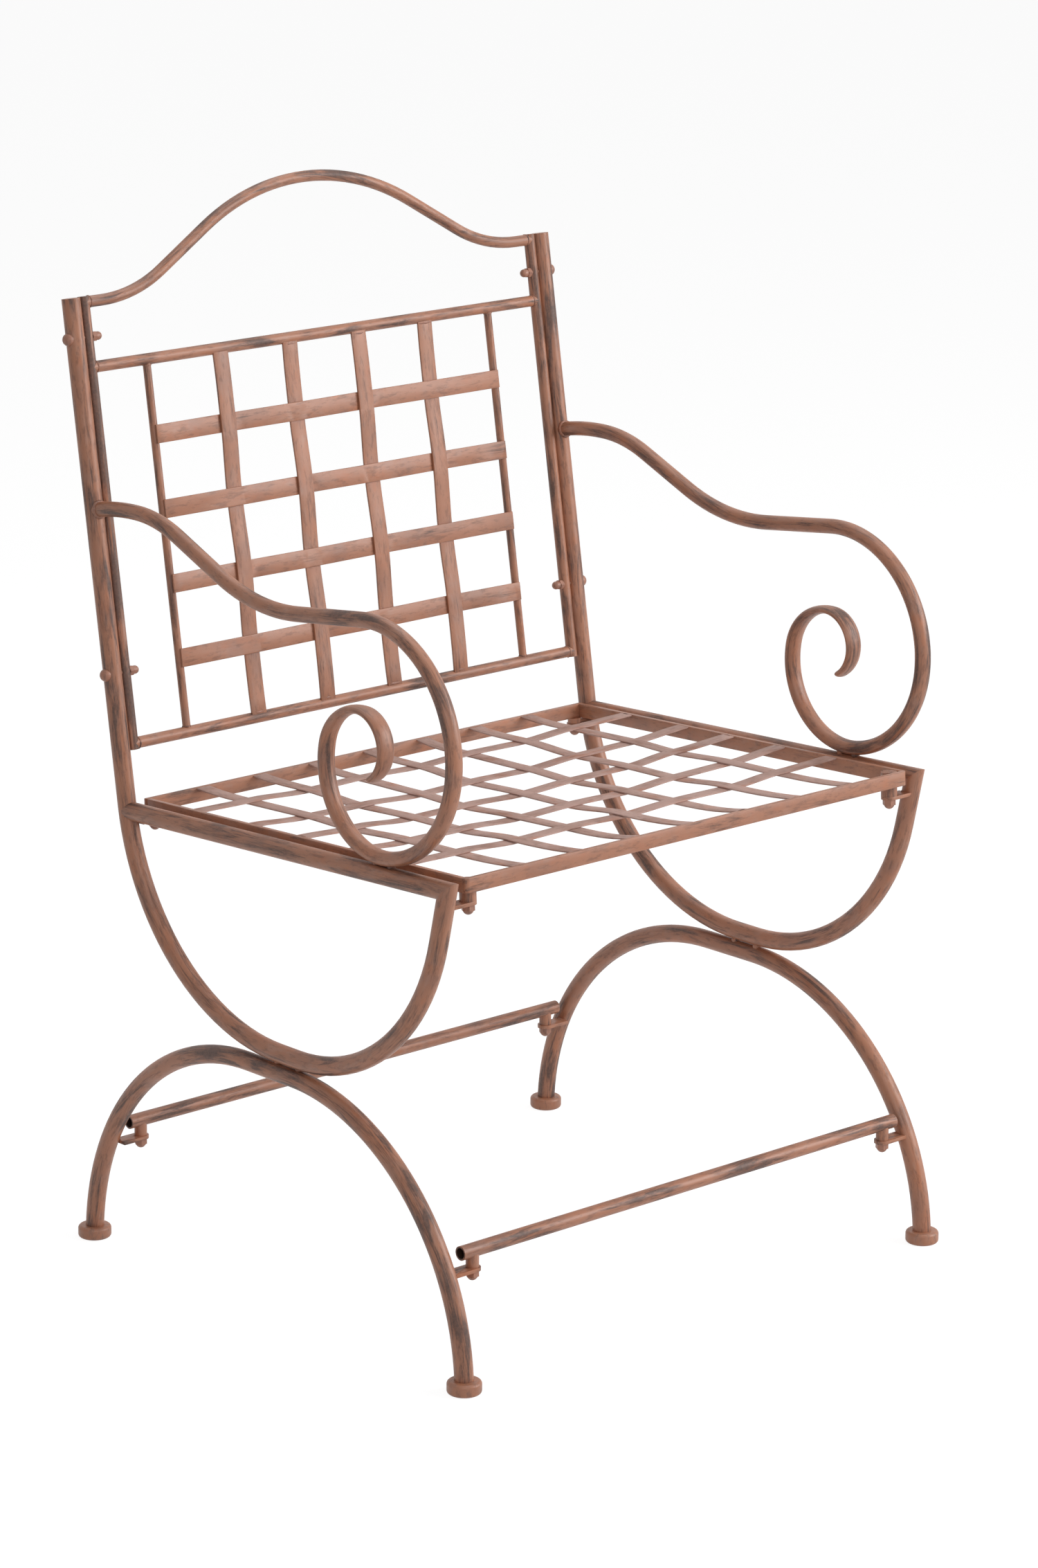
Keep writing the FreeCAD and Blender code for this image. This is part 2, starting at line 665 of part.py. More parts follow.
# weld beads under the bows and at the foot of the scrolls
beads = []
arch_top = arch_spring_z + arch_r + tube_r
bow_under = bow_z - tube_r
for y in (front_low_y, rear_low_y + 2.0):
    bead = Part.makeSphere(bead_r, Vector(-side_x + 1.5, y, (arch_top + bow_under) / 2))
    beads.append(bead.cut([bow_full, arch_full]))
for y in (scroll_foot_y - 9.0, scroll_foot_y + 9.0):
    z = seat_level - y * tan(radians(rail_slope)) + 0.6
    bead = Part.makeSphere(bead_r, Vector(-side_x + 1.0, y, z))
    bead = bead.cut(rail_full).cut(keep[0])
    beads.append(max(bead.Solids, key=lambda solid: solid.Volume))
save("weld_beads", Part.makeCompound(beads + [mirrored(b) for b in beads]))
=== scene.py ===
"""Garden armchair of bent steel tube and woven flat strip: its finishes, soft edges, welds and studio."""
import logging
import math
import random
from dataclasses import dataclass, field, replace
from enum import Enum
from typing import Sequence, Union

import bpy
import numpy as np
from mathutils import Matrix, Vector


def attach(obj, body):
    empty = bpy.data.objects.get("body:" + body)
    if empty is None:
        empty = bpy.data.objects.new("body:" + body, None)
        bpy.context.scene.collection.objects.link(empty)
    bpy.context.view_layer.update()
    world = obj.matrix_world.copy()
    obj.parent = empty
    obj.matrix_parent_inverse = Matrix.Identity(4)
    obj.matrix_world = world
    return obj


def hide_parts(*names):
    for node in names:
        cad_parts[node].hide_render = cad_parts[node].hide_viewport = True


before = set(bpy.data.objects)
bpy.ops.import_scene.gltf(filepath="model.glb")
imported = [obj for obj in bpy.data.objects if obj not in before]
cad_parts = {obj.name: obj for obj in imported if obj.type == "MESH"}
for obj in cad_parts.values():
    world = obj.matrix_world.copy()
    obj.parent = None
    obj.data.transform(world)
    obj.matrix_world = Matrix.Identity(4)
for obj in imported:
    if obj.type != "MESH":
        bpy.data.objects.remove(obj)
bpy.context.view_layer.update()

log = logging.getLogger("armchair")
Triple = tuple[float, float, float]
Colour = Triple
Pair = tuple[float, float]
WHITE: Colour = (1.0, 1.0, 1.0)
MM = 0.001
GRAIN = "grain"
INSIDE = "inside"


def from_screen(red: int, green: int, blue: int) -> Colour:
    """Turns a colour as seen on screen into linear light.

    Args:
        red: The red channel, 0 to 255.
        green: The green channel.
        blue: The blue channel.

    Returns:
        The three channels in linear light.
    """
    parts = []
    for value in (red, green, blue):
        share = value / 255
        parts.append(share / 12.92 if share <= 0.04045 else ((share + 0.055) / 1.055) ** 2.4)
    return parts[0], parts[1], parts[2]


# ---------------------------------------------------------------- shader graphs


class Value:
    """One number in a shader. Python's arithmetic on it adds the Math nodes."""

    def __init__(self, graph: "Graph", socket: bpy.types.NodeSocket) -> None:
        """Keeps the graph and the socket that gives the number."""
        self.graph = graph
        self.socket = socket

    def _join(self, operation: str, *terms: "Operand") -> "Value":
        """Adds one Math node and returns its result."""
        node = self.graph.add("ShaderNodeMath", {"operation": operation}, dict(enumerate(terms)))
        return Value(self.graph, node.outputs[0])

    def __add__(self, other: "Operand") -> "Value":
        """Returns self + other."""
        return self._join("ADD", self, other)

    def __radd__(self, other: "Operand") -> "Value":
        """Returns other + self."""
        return self._join("ADD", other, self)

    def __sub__(self, other: "Operand") -> "Value":
        """Returns self - other."""
        return self._join("SUBTRACT", self, other)

    def __rsub__(self, other: "Operand") -> "Value":
        """Returns other - self."""
        return self._join("SUBTRACT", other, self)

    def __mul__(self, other: "Operand") -> "Value":
        """Returns self * other."""
        return self._join("MULTIPLY", self, other)

    def __rmul__(self, other: "Operand") -> "Value":
        """Returns other * self."""
        return self._join("MULTIPLY", other, self)

    def above(self, low: float, high: float) -> "Value":
        """Returns 0 under low, 1 over high and a soft step between.

        Args:
            low: Where the step starts.
            high: Where it ends.

        Returns:
            The stepped value.
        """
        node = self.graph.add("ShaderNodeMapRange", {"interpolation_type": "SMOOTHSTEP", "clamp": True},
                              {"Value": self, "From Min": low, "From Max": high})
        return Value(self.graph, node.outputs["Result"])

    def larger(self, other: "Operand") -> "Value":
        """Returns the larger of self and other."""
        return self._join("MAXIMUM", self, other)


Operand = Union[Value, float, int]


class Graph:
    """The node graph of one material, or of the world."""

    def __init__(self, owner: Union[bpy.types.Material, bpy.types.World]) -> None:
        """Empties a node tree to build in it.

        Args:
            owner: The material or the world that has the tree.
        """
        self.owner = owner
        owner.use_nodes = True
        self.tree = owner.node_tree
        self.tree.nodes.clear()

    def add(self, kind: str, settings: dict | None = None, inputs: dict | None = None) -> bpy.types.Node:
        """Adds one node of any type.

        Args:
            kind: The node's type name.
            settings: Its own settings, set first.
            inputs: Numbers, colours, values or sockets by input name or place.

        Returns:
            The new node.
        """
        node = self.tree.nodes.new(kind)
        for key, setting in (settings or {}).items():
            setattr(node, key, setting)
        for key, given in (inputs or {}).items():
            target = node.inputs[key]
            if isinstance(given, Value):
                self.tree.links.new(given.socket, target)
            elif isinstance(given, bpy.types.NodeSocket):
                self.tree.links.new(given, target)
            elif isinstance(given, tuple) and len(given) == 3 and target.type == "RGBA":
                target.default_value = (*given, 1.0)
            else:
                target.default_value = given
        return node

    def place(self, follow_piece: bool) -> bpy.types.NodeSocket:
        """Gives the point that patterns read.

        Args:
            follow_piece: Whether it runs along the piece, or else in the chair's frame.

        Returns:
            The point's socket.
        """
        if follow_piece:
            return self.add("ShaderNodeAttribute", {"attribute_name": GRAIN}).outputs["Vector"]
        return self.add("ShaderNodeTexCoord").outputs["Object"]

    def blend(self, first: Union[Colour, bpy.types.NodeSocket], second: Union[Colour, bpy.types.NodeSocket],
              share: Operand) -> bpy.types.NodeSocket:
        """Mixes two colours.

        Args:
            first: Colour at a share of 0.
            second: Colour at a share of 1.
            share: How much of the second.

        Returns:
            The mixed colour's socket.
        """
        node = self.add("ShaderNodeMix", {"data_type": "RGBA"}, {0: share, 6: first, 7: second})
        return node.outputs[2]

    def seen_by(self, *rays: str) -> Value:
        """Gives 1 for light paths of the named kinds and 0 for others.

        Args:
            rays: Output names of the Light Path node.

        Returns:
            The larger of these outputs.
        """
        path = self.add("ShaderNodeLightPath")
        seen = Value(self, path.outputs[rays[0]])
        for ray in rays[1:]:
            seen = seen.larger(Value(self, path.outputs[ray]))
        return seen

    def finish(self, shader: bpy.types.Node, output: str = "ShaderNodeOutputMaterial") -> bpy.types.ID:
        """Joins the shader to the output and returns the material or the world."""
        self.add(output, inputs={"Surface": shader.outputs[0]})
        return self.owner


@dataclass(frozen=True)
class Pattern:
    """One fractal pattern of the paint, which may be drawn out along the piece."""

    scale: float
    detail: float = 3.0
    rough: float = 0.55
    warp: float = 0.0
    along: float = 1.0

    def draw(self, graph: Graph, place: bpy.types.NodeSocket) -> Value:
        """Adds the pattern's nodes.

        Args:
            graph: The paint's graph.
            place: The point that the pattern reads.

        Returns:
            The pattern, from 0 to 1.
        """
        if self.along != 1.0:
            place = graph.add("ShaderNodeVectorMath", {"operation": "MULTIPLY"},
                              {0: place, 1: (self.along, 1.0, 1.0)}).outputs[0]
        node = graph.add("ShaderNodeTexNoise", {"noise_dimensions": "3D"}, {
            "Vector": place, "Scale": self.scale, "Detail": self.detail, "Roughness": self.rough,
            "Distortion": self.warp})
        return Value(graph, node.outputs[0])


@dataclass(frozen=True)
class Patches:
    """Where a pattern lies over a soft step, and how strongly that counts."""

    pattern: Pattern
    low: float
    high: float
    share: float

    def draw(self, graph: Graph, place: bpy.types.NodeSocket) -> Value:
        """Adds the patches' nodes and returns their strength."""
        return self.pattern.draw(graph, place).above(self.low, self.high) * self.share


@dataclass(frozen=True)
class BrushedPaint:
    """Rust-brown paint with a darker coat brushed over it and partly rubbed off along the metal."""

    name: str
    slot: str = "frame_paint"
    follow_piece: bool = True
    seed: float = 0.0
    streak: float = 0.11
    base: Colour = from_screen(172, 116, 88)
    pale: Colour = from_screen(187, 150, 134)
    warm: Colour = from_screen(182, 106, 64)
    worn: Colour = from_screen(132, 90, 72)
    dark: Colour = from_screen(54, 38, 34)
    # Near-black painted shade for the shadowed inside of open tubes.
    hollow: Colour = from_screen(22, 15, 13)
    wisps: Pattern = Pattern(260.0, 3.0, 0.6)
    haze: Pattern = Pattern(60.0, 2.0)
    pale_step: Pair = (0.5, 0.66)
    pale_share: float = 0.3
    warm_patches: Patches = Patches(Pattern(75.0, 3.0, 0.6, along=0.45), 0.52, 0.72, 0.42)
    worn_patches: Patches = Patches(Pattern(30.0), 0.42, 0.75, 0.5)
    brush: Pattern = Pattern(135.0, 5.0, 0.66, 0.45)
    drift: Pattern = Pattern(14.0, 2.0)
    bristle: Pattern = Pattern(900.0, 2.0, 0.6, along=0.06)
    coat_mix: Triple = (0.62, 0.3, 0.14)
    cover: float = 0.505
    cover_step: float = 0.13
    rub: Pattern = Pattern(420.0, 3.0, 0.7)
    rub_left: Pair = (0.55, 0.65)
    specks: Patches = Patches(Pattern(260.0, 4.0, 0.65, along=0.3), 0.5, 0.68, 0.42)
    dark_share: float = 0.95
    hollow_share: float = 0.9
    fine: Pattern = Pattern(2600.0, 2.0)
    dabs: Pattern = Pattern(240.0, 3.0, 0.5, along=0.5)
    relief_mix: Triple = (0.16, 0.6, 0.24)
    relief: float = 0.35
    relief_depth: float = 0.0005
    roughness: float = 0.42
    rub_rough: float = 0.1
    dark_rough: float = 0.12
    gloss: float = 0.6

    def under_coat(self, graph: Graph, place: bpy.types.NodeSocket) -> bpy.types.NodeSocket:
        """Gives the brown under the dark coat.

        Args:
            graph: The paint's graph.
            place: The point that the patterns read.

        Returns:
            The colour, with its pale, warm and worn patches.
        """
        wisps = replace(self.wisps, along=self.streak).draw(graph, place)
        pale = (0.5 * wisps + 0.5 * self.haze.draw(graph, place)).above(*self.pale_step) * self.pale_share
        colour = graph.blend(self.base, self.pale, pale)
        colour = graph.blend(colour, self.warm, self.warm_patches.draw(graph, place))
        return graph.blend(colour, self.worn, self.worn_patches.draw(graph, place))

    def dark_coat(self, graph: Graph, place: bpy.types.NodeSocket, bristle: Value, rub: Value) -> Value:
        """Gives how much of the dark coat is left.

        Args:
            graph: The paint's graph.
            place: The point that the patterns read.
            bristle: Fine lines left by the brush.
            rub: Where the coat is less rubbed.

        Returns:
            The dark coat's share.
        """
        brush = replace(self.brush, along=self.streak).draw(graph, place)
        broad, slow, thin = self.coat_mix
        coat = broad * brush + slow * self.drift.draw(graph, place) + thin * bristle
        least, more = self.rub_left
        dark = coat.above(self.cover, self.cover + self.cover_step) * (least + more * rub)
        return dark.larger(self.specks.draw(graph, place)) * self.dark_share

    def make(self) -> bpy.types.Material:
        """Builds the paint's material.

        Returns:
            The material.
        """
        graph = Graph(bpy.data.materials.new(self.name))
        place = graph.add("ShaderNodeVectorMath", {"operation": "ADD"},
                          {0: graph.place(self.follow_piece), 1: (self.seed,) * 3}).outputs[0]
        bristle = self.bristle.draw(graph, place)
        rub = self.rub.draw(graph, place)
        dark = self.dark_coat(graph, place, bristle, rub)
        colour = graph.blend(self.under_coat(graph, place), self.dark, dark)
        # Painted shade: where a vertex is marked as inside an open tube, the colour is pulled towards
        # near-black.
        inside = graph.add("ShaderNodeAttribute", {"attribute_name": INSIDE}).outputs["Fac"]
        colour = graph.blend(colour, self.hollow, Value(graph, inside) * self.hollow_share)
        grit, dab, line = self.relief_mix
        height = grit * self.fine.draw(graph, place) + dab * self.dabs.draw(graph, place) + line * bristle
        bump = graph.add("ShaderNodeBump", inputs={
            "Strength": self.relief, "Distance": self.relief_depth, "Height": height})
        rough = self.roughness + self.rub_rough * (rub - 0.5) + self.dark_rough * dark
        shader = graph.add("ShaderNodeBsdfPrincipled", inputs={
            "Base Color": colour, "Roughness": rough, "Normal": bump.outputs[0],
            "Specular IOR Level": self.gloss})
        return graph.finish(shader)


@dataclass(frozen=True)
class StudioFloor:
    """White studio floor that still takes the chair's shadow, with a share of plain paint that shows."""

    name: str = "studio_floor"
    shade: float = 0.86
    show: float = 0.25
    glow: float = 1.21

    def make(self) -> bpy.types.Material:
        """Builds the floor's material.

        Returns:
            The material.
        """
        graph = Graph(bpy.data.materials.new(self.name))
        paint = graph.add("ShaderNodeBsdfDiffuse", inputs={"Color": (self.shade,) * 3})
        glow = graph.add("ShaderNodeEmission", inputs={"Color": WHITE, "Strength": self.glow})
        share = graph.seen_by("Is Camera Ray", "Is Glossy Ray") * (1 - self.show)
        mix = graph.add("ShaderNodeMixShader", inputs={0: share, 1: paint.outputs[0], 2: glow.outputs[0]})
        return graph.finish(mix)


class Finish(Enum):
    """The chair's finishes, each with the record's slot that it belongs to."""

    FRAME = BrushedPaint("frame_paint_coat")
    STRIP = BrushedPaint("strip_paint_coat", "strip_paint", cover=0.565, dark_share=0.8, seed=3.1)
    # Paler base on the seat strips: painted sheen standing in for the white studio's reflection on their tops
    # at a grazing view, while their own gloss is kept low and rough.
    WEAVE = BrushedPaint("seat_strip_paint_coat", "strip_paint", base=from_screen(192, 158, 147), cover=0.60,
                         dark_share=0.6, roughness=0.6, gloss=0.3, seed=12.4)
    FASTENER = BrushedPaint("fastener_paint_coat", "fastener_paint", base=from_screen(168, 116, 94),
                            cover=0.60, streak=0.4, seed=5.3)
    FOOT = BrushedPaint("foot_paint_coat", "foot_paint", cover=0.60, streak=0.3, seed=7.7)
    # Darker copy of the frame paint, with more of the dark coat, for the left back side bar: painted shade
    # for the shadow it lies in behind the upright.
    SHADE = BrushedPaint("dark_bar_paint_coat", cover=0.42, dark_share=0.9, seed=15.8)
    BEAD = BrushedPaint("weld_paint_coat", follow_piece=False, base=from_screen(160, 108, 86), cover=0.50,
                        seed=9.9)

    @property
    def slot(self) -> str:
        """The record's slot that this finish belongs to."""
        return self.value.slot


class PaintShelf:
    """Makes each finish's material once."""

    def __init__(self) -> None:
        """Starts with no material made."""
        self.made: dict[Finish, bpy.types.Material] = {}

    def get(self, finish: Finish) -> bpy.types.Material:
        """Gives a finish's material.

        Args:
            finish: The finish.

        Returns:
            Its material, made at the first call.
        """
        if finish not in self.made:
            self.made[finish] = finish.value.make()
        return self.made[finish]


# ---------------------------------------------------------------- meshes


def let_go() -> None:
    """Deselects everything."""
    if bpy.context.object and bpy.context.object.mode != "OBJECT":
        bpy.ops.object.mode_set(mode="OBJECT")
    bpy.ops.object.select_all(action="DESELECT")


def take(piece: bpy.types.Object) -> None:
    """Makes a piece the only selected and the active one.

    Args:
        piece: The piece.
    """
    let_go()
    piece.select_set(True)
    bpy.context.view_layer.objects.active = piece


def places_of(piece: bpy.types.Object) -> np.ndarray:
    """Reads the places of a piece's vertices.

    Args:
        piece: The piece.

    Returns:
        The places, one a row.
    """
    places = np.empty(len(piece.data.vertices) * 3)
    piece.data.vertices.foreach_get("co", places)
    return places.reshape(-1, 3)


def mark(piece: bpy.types.Object, name: str, rows: np.ndarray) -> None:
    """Keeps a number or a vector for each vertex of a piece.

    Args:
        piece: The piece.
        name: The attribute's name, which the paint reads.
        rows: One number or one row of three a vertex.
    """
    kind, key = ("FLOAT", "value") if rows.ndim == 1 else ("FLOAT_VECTOR", "vector")
    layer = piece.data.attributes.new(name, kind, "POINT")
    layer.data.foreach_set(key, rows.astype(np.float32).ravel())


# How finely a route is sampled, in metres and degrees, and how many places are measured at once.
RUN_STEP = 10 * MM
ARC_STEP = 3
CHUNK = 2000


class Route:
    """A centre line of tangent runs and arcs in a plane, sampled finely."""

    def __init__(self, start: Pair, heading: float, origin: Vector, axes: tuple[Vector, Vector]) -> None:
        """Starts a route.

        Args:
            start: First point in the plane.
            heading: First direction in degrees from the first axis.
            origin: The plane's origin in the chair's frame.
            axes: The plane's two axes.
        """
        self.at = start
        self.heading = heading
        self.origin = origin
        self.axes = axes
        self.flat: list[Pair] = [start]

    def line(self, length: float) -> "Route":
        """Adds a straight run.

        Args:
            length: The run's length in metres.

        Returns:
            The route itself.
        """
        a = math.radians(self.heading)
        steps = max(2, int(abs(length) / RUN_STEP))
        x, y = self.at
        for k in range(1, steps + 1):
            self.flat.append((x + length * k / steps * math.cos(a), y + length * k / steps * math.sin(a)))
        self.at = self.flat[-1]
        return self

    def arc(self, radius: float, turn: float) -> "Route":
        """Adds an arc.

        Args:
            radius: The arc's radius in metres.
            turn: Its angle in degrees, positive when it goes anticlockwise.

        Returns:
            The route itself.
        """
        side = 90 if turn > 0 else -90
        a = math.radians(self.heading + side)
        cx, cy = self.at[0] + radius * math.cos(a), self.at[1] + radius * math.sin(a)
        steps = max(4, int(abs(turn) / ARC_STEP))
        for k in range(1, steps + 1):
            b = math.radians(self.heading - side + turn * k / steps)
            self.flat.append((cx + radius * math.cos(b), cy + radius * math.sin(b)))
        self.at = self.flat[-1]
        self.heading += turn
        return self

    def points(self) -> np.ndarray:
        """Turns the sampled points into the chair's frame.

        Returns:
            The points, one a row.
        """
        u, v = (np.array(axis) for axis in self.axes)
        flat = np.array(self.flat)
        return np.array(self.origin) + flat[:, :1] * u + flat[:, 1:] * v

    def measure(self, places: np.ndarray) -> np.ndarray:
        """Gives each place's distance along the route and its two offsets across it.

        Args:
            places: Points in the chair's frame, one a row.

        Returns:
            Rows of along, across in the plane, and across the plane.
        """
        line = self.points()
        steps = line[1:] - line[:-1]
        lengths = np.linalg.norm(steps, axis=1)
        starts = np.concatenate([[0.0], np.cumsum(lengths)[:-1]])
        out_of_plane = np.cross(np.array(self.axes[0]), np.array(self.axes[1]))
        rows = []
        for chunk in np.array_split(places, max(1, len(places) // CHUNK)):
            offset = chunk[:, None, :] - line[None, :-1, :]
            share = np.clip((offset * steps).sum(2) / (lengths ** 2), 0, 1)
            away = np.linalg.norm(offset - share[..., None] * steps, axis=2)
            best = away.argmin(axis=1)
            row = np.arange(len(chunk))
            unit = steps[best] / lengths[best][:, None]
            rest = offset[row, best] - share[row, best][:, None] * steps[best]
            side = np.cross(unit, out_of_plane)
            rows.append(np.stack([starts[best] + share[row, best] * lengths[best],
                                  (rest * side).sum(1), rest @ out_of_plane], axis=1))
        return np.concatenate(rows)


@dataclass
class Straight:
    """The grain of a straight piece, along one direction."""

    along: Vector

    def measure(self, places: np.ndarray) -> np.ndarray:
        """Gives each place's distance along the piece and its two offsets across it.

        Args:
            places: Points in the chair's frame, one a row.

        Returns:
            Rows of along and the two offsets.
        """
        axis = self.along.normalized()
        first = axis.orthogonal().normalized()
        second = axis.cross(first)
        return places @ np.array([axis, first, second]).T


Lay = Union[Route, Straight]


@dataclass
class Bench:
    """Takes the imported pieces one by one, softens, paints and hangs them on the chair."""

    shelf: PaintShelf
    same_point: float = 0.00001
    flat_angle: float = 0.5
    edge_angle: float = 40.0
    smooth_angle: float = 32.0
    grain_shift: Triple = (8, 3, 3)
    bore_share: float = 0.87
    dice: random.Random = field(default_factory=lambda: random.Random(20))

    def dress(self, node: str, finish: Finish, lay: Lay, edge: float = 0.0) -> bpy.types.Object:
        """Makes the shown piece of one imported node.

        Args:
            node: The node's name.
            finish: Its paint.
            lay: How the paint's streaks run.
            edge: Radius of a flat-sided piece's soft edges in millimetres, 0 for a round piece.

        Returns:
            The shown piece.
        """
        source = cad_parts[node]
        piece = bpy.data.objects.new(node + "_painted", source.data.copy())
        bpy.context.scene.collection.objects.link(piece)
        take(piece)
        if piece.data.has_custom_normals:
            bpy.ops.mesh.customdata_custom_splitnormals_clear()
        bpy.ops.object.mode_set(mode="EDIT")
        bpy.ops.mesh.select_all(action="SELECT")
        bpy.ops.mesh.remove_doubles(threshold=self.same_point)
        if edge:
            bpy.ops.mesh.dissolve_limited(angle_limit=math.radians(self.flat_angle))
        bpy.ops.object.mode_set(mode="OBJECT")
        if edge:
            self.soften(piece, edge)
        bpy.ops.object.shade_smooth_by_angle(angle=math.radians(self.smooth_angle))
        self.paint(piece, finish, lay)
        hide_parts(node)
        log.info("%s: %d faces", piece.name, len(piece.data.polygons))
        return piece

    def soften(self, piece: bpy.types.Object, edge: float) -> None:
        """Rounds the sharp edges of the active piece.

        Args:
            piece: The piece.
            edge: The rounding's radius in millimetres.
        """
        soft = piece.modifiers.new("soft_edges", "BEVEL")
        soft.width = edge * MM
        soft.segments = 2
        soft.limit_method = "ANGLE"
        soft.angle_limit = math.radians(self.edge_angle)
        bpy.ops.object.modifier_apply(modifier=soft.name)

    def paint(self, piece: bpy.types.Object, finish: Finish, lay: Lay | None) -> None:
        """Gives a piece its paint and hangs it on the chair.

        Args:
            piece: The piece.
            finish: Its paint.
            lay: How the streaks run, or none to use the chair's own frame.
        """
        if lay is not None:
            grain = lay.measure(places_of(piece))
            mark(piece, GRAIN, grain + [self.dice.uniform(0, reach) for reach in self.grain_shift])
        piece.data.materials.clear()
        piece.data.materials.append(self.shelf.get(finish))
        piece.data.polygons.foreach_set("material_index", [0] * len(piece.data.polygons))
        finish.slot
        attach(piece, "root")

    def shade_bore(self, piece: bpy.types.Object) -> None:
        """Marks the inside of an open tube that lies across the chair, where the paint is darkened as painted
        shade for the shadow in the bore.

        Args:
            piece: The tube, already painted.
        """
        places = places_of(piece)
        middle = (places.min(axis=0) + places.max(axis=0)) / 2
        away = np.hypot(places[:, 1] - middle[1], places[:, 2] - middle[2])
        mark(piece, INSIDE, away < self.bore_share * away.max())


# ---------------------------------------------------------------- the chair


class Side(Enum):
    """The chair's two sides, by the sign of X."""

    LEFT = -1
    RIGHT = 1

    @property
    def tail(self) -> str:
        """The end of this side's node names."""
        return self.name.lower()


ACROSS = Vector((1, 0, 0))
BACKWARD = Vector((0, 1, 0))
UP = Vector((0, 0, 1))
MIDDLE_Y = 9.095 * MM
SIDE_X = 266.7 * MM
LEAN = math.radians(9.15)
SEAT_SLOPE = math.radians(2.6)
UP_THE_BACK = Vector((0, math.sin(LEAN), math.cos(LEAN)))
OUT_OF_THE_BACK = Vector((0, -math.cos(LEAN), math.sin(LEAN)))
DOWN_THE_SEAT = Vector((0, math.cos(SEAT_SLOPE), -math.sin(SEAT_SLOPE)))


def from_feet(x: float, y: float, z: float) -> Vector:
    """Gives a place in the chair's frame from one with y = 0 between the feet, both in millimetres."""
    return Vector((x, y - MIDDLE_Y / MM, z))


def side_plane(side: Side, start: Pair, heading: float) -> Route:
    """Starts a route in a side frame's plane.

    Args:
        side: The side frame.
        start: Its first y and z in millimetres, with y = 0 between the feet.
        heading: First direction in degrees from backward.

    Returns:
        The route.
    """
    origin = Vector((side.value * SIDE_X, -MIDDLE_Y, 0))
    return Route((start[0] * MM, start[1] * MM), heading, origin, (BACKWARD, UP))


@dataclass
class SideFrames:
    """Bows with their posts and uprights, seat-level rails and leg arches with their feet."""

    corner: Pair = (-222.5, 415.8)
    post_angle: float = 77.1
    post_length: float = 46.2
    bow_front_r: float = 181.2
    bow_flat: float = 25.2
    bow_rear_r: float = 203.4
    upright_length: float = 440.0
    arch_r: float = 215.0
    arch_flat: float = 58.0
    arch_low: float = -20.0
    arch_end: float = 18.0

    def bow(self, side: Side) -> Route:
        """Gives the bow's centre line.

        Args:
            side: The bow's side.

        Returns:
            The line from the front corner to the top of the upright.
        """
        route = side_plane(side, self.corner, -self.post_angle)
        route.line(self.post_length * MM).arc(self.bow_front_r * MM, self.post_angle)
        route.line(self.bow_flat * MM).arc(self.bow_rear_r * MM, 90 - math.degrees(LEAN))
        return route.line(self.upright_length * MM)

    def arch(self, side: Side) -> Route:
        """Gives the leg arch's centre line.

        Args:
            side: The arch's side.

        Returns:
            The line from the front foot to the rear foot.
        """
        half = self.arch_flat / 2 + self.arch_r
        route = side_plane(side, (-half, self.arch_low), 90)
        route.line(self.arch_end * MM).arc(self.arch_r * MM, -90).line(self.arch_flat * MM)
        return route.arc(self.arch_r * MM, -90).line(self.arch_end * MM)

    def build(self, bench: Bench) -> None:
        """Dresses both side frames.

        Args:
            bench: Takes, paints and hangs the pieces.
        """
        for side in Side:
            bench.dress("upright_tube_" + side.tail, Finish.FRAME, self.bow(side))
            bench.dress("side_rail_" + side.tail, Finish.FRAME, Straight(DOWN_THE_SEAT))
            bench.dress("leg_arch_" + side.tail, Finish.FRAME, self.arch(side))
            for end in ("front", "rear"):
                bench.dress(f"foot_{end}_{side.tail}", Finish.FOOT, Straight(UP))


@dataclass
class Armrests:
    """Humped arm tubes that end in a scroll standing on the side rail."""

    start_angle: float = 16.0
    hump: Pair = (172.0, 658.5)
    hump_rear_r: float = 250.0
    hump_r: float = 137.0
    hump_angle: float = 23.2
    trough_r: float = 194.0
    trough_z: float = 607.5
    rise: float = 7.0
    flat_length: float = 79.5
    turns: Sequence[Pair] = ((99.3, 97.0), (93.0, 80.0), (68.0, 112.0), (45.0, 76.0), (29.0, 150.0))

    def line(self, side: Side) -> Route:
        """Gives the arm's centre line.

        Args:
            side: The arm's side.

        Returns:
            The line from the upright to the tip of the scroll.
        """
        back, down = math.radians(self.start_angle), math.radians(self.hump_angle)
        start = (self.hump[0] + self.hump_rear_r * math.sin(back),
                 self.hump[1] - self.hump_rear_r * (1 - math.cos(back)))
        drop = self.hump[1] - self.trough_z - (self.hump_r + self.trough_r) * (1 - math.cos(down))
        route = side_plane(side, start, 180 - self.start_angle)
        route.arc(self.hump_rear_r * MM, self.start_angle).arc(self.hump_r * MM, self.hump_angle)
        route.line(drop / math.sin(down) * MM)
        route.arc(self.trough_r * MM, -self.hump_angle - self.rise).line(self.flat_length * MM)
        for radius, turn in self.turns:
            route.arc(radius * MM, turn)
        return route

    def build(self, bench: Bench) -> None:
        """Dresses both armrests.

        Args:
            bench: Takes, paints and hangs the pieces.
        """
        for side in Side:
            bench.dress("armrest_" + side.tail, Finish.FRAME, self.line(side))


